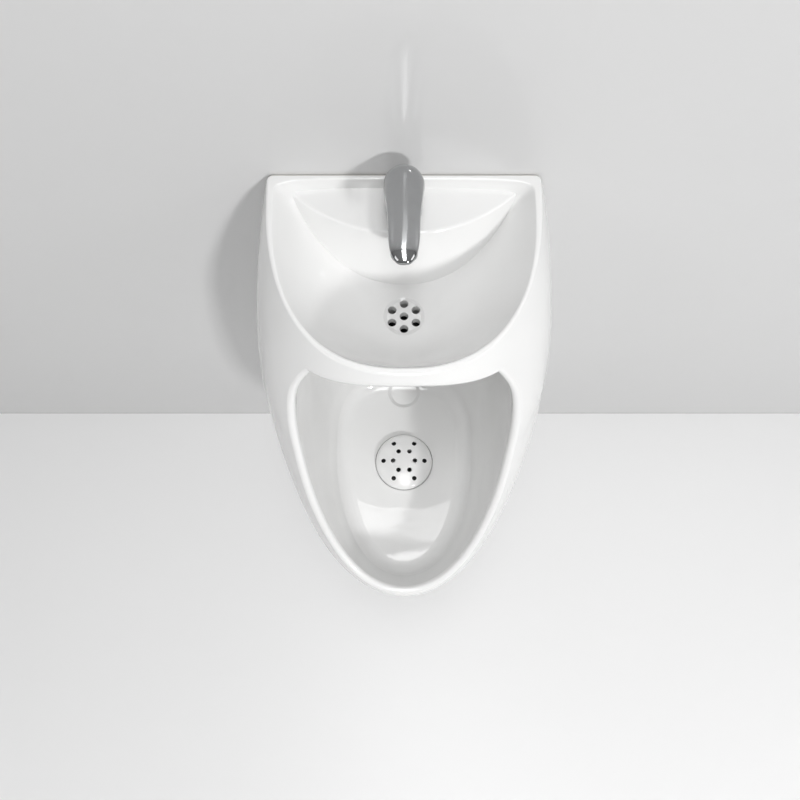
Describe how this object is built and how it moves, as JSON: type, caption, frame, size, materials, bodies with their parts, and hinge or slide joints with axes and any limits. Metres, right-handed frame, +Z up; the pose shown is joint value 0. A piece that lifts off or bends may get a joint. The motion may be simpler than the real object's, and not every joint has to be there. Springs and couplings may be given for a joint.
{
  "type": "urinal with hand basin",
  "caption": "Wall-hung white ceramic urinal with a hand basin and a single-lever mixer tap in its top; the basin's water runs down to rinse the bowl.",
  "frame": {"origin": "midway between the two wall-fixing holes, on the wall plane", "axes": "+X to the right seen from the front, +Y into the wall, +Z up"},
  "size_m": [0.3744, 0.4702, 0.6469],
  "materials": {
    "glaze": "white gloss glaze",
    "strainer": "white gloss plastic",
    "chrome": "bright chrome",
    "plastic_white": "white moulded plastic",
    "plastic_black": "black moulded plastic",
    "plastic_grey": "grey moulded plastic",
    "rubber_black": "black rubber",
    "steel": "plain steel",
    "brass": "turned brass",
    "copper": "copper tube",
    "disc": "ground ceramic"
  },
  "bodies": {
    "fixture": {"ceramic_body": "glaze", "tap_body": "chrome", "tap_dome": "chrome", "aerator_shell": "chrome", "trap_body": "plastic_white", "trap_dip_tube": "plastic_white", "trap_cup": "plastic_white", "trap_inlet_nut": "plastic_white", "outlet_pipe": "plastic_white", "outlet_nut": "plastic_white", "waste_body": "plastic_black", "waste_nut": "plastic_black", "spreader_body": "plastic_black", "spreader_cap": "plastic_black", "spreader_nut": "plastic_black", "fixing_bushes": "plastic_grey", "cartridge_base": "plastic_grey", "cartridge_shell": "plastic_grey", "aerator_insert": "plastic_grey", "waste_seal_upper": "rubber_black", "waste_seal_lower": "rubber_black", "trap_cup_seal": "rubber_black", "trap_inlet_seal": "rubber_black", "outlet_seal": "rubber_black", "spreader_seal": "rubber_black", "drain_sleeve": "rubber_black", "tap_base_seal": "rubber_black", "clamp_washer": "rubber_black", "cartridge_seal": "rubber_black", "aerator_washer": "rubber_black", "sleeve_clip_upper": "steel", "sleeve_clip_lower": "steel", "clamp_plate": "steel", "tap_stud": "steel", "stud_nut": "steel", "cartridge_nut": "brass", "hot_inlet_tail": "copper", "cold_inlet_tail": "copper", "fixed_disc": "disc"},
    "strainer": {"strainer_plate": "strainer"},
    "swivel": {"cartridge_rotor": "plastic_grey", "pivot_pin": "steel"},
    "lever": {"lever_stem": "plastic_grey", "tap_lever": "chrome", "lever_screw": "steel"},
    "valve": {"disc_carrier": "plastic_grey", "moving_disc": "disc"}
  },
  "joints": [
    {"name": "lever_swivel", "type": "hinge", "parent": "fixture", "child": "swivel", "pos_m": [0, -0.042, 0.125], "axis": [0, 0, 1], "range_deg": [-45, 45]},
    {"name": "lever_lift", "type": "hinge", "parent": "swivel", "child": "lever", "pos_m": [0, -0.042, 0.125], "axis": [-1, 0, 0], "range_deg": [0, 22]},
    {"name": "valve_slide", "type": "slide", "parent": "swivel", "child": "valve", "axis": [0, -1, 0], "range_m": [0, 0.0033]},
    {"name": "strainer_lift_out", "type": "slide", "parent": "fixture", "child": "strainer", "axis": [0, 0, 1], "range_m": [0, 0.08]}
  ],
  "couplings": [
    {"joint": "valve_slide", "follows": "lever_lift", "m_per_rad": 0.0083}
  ]
}
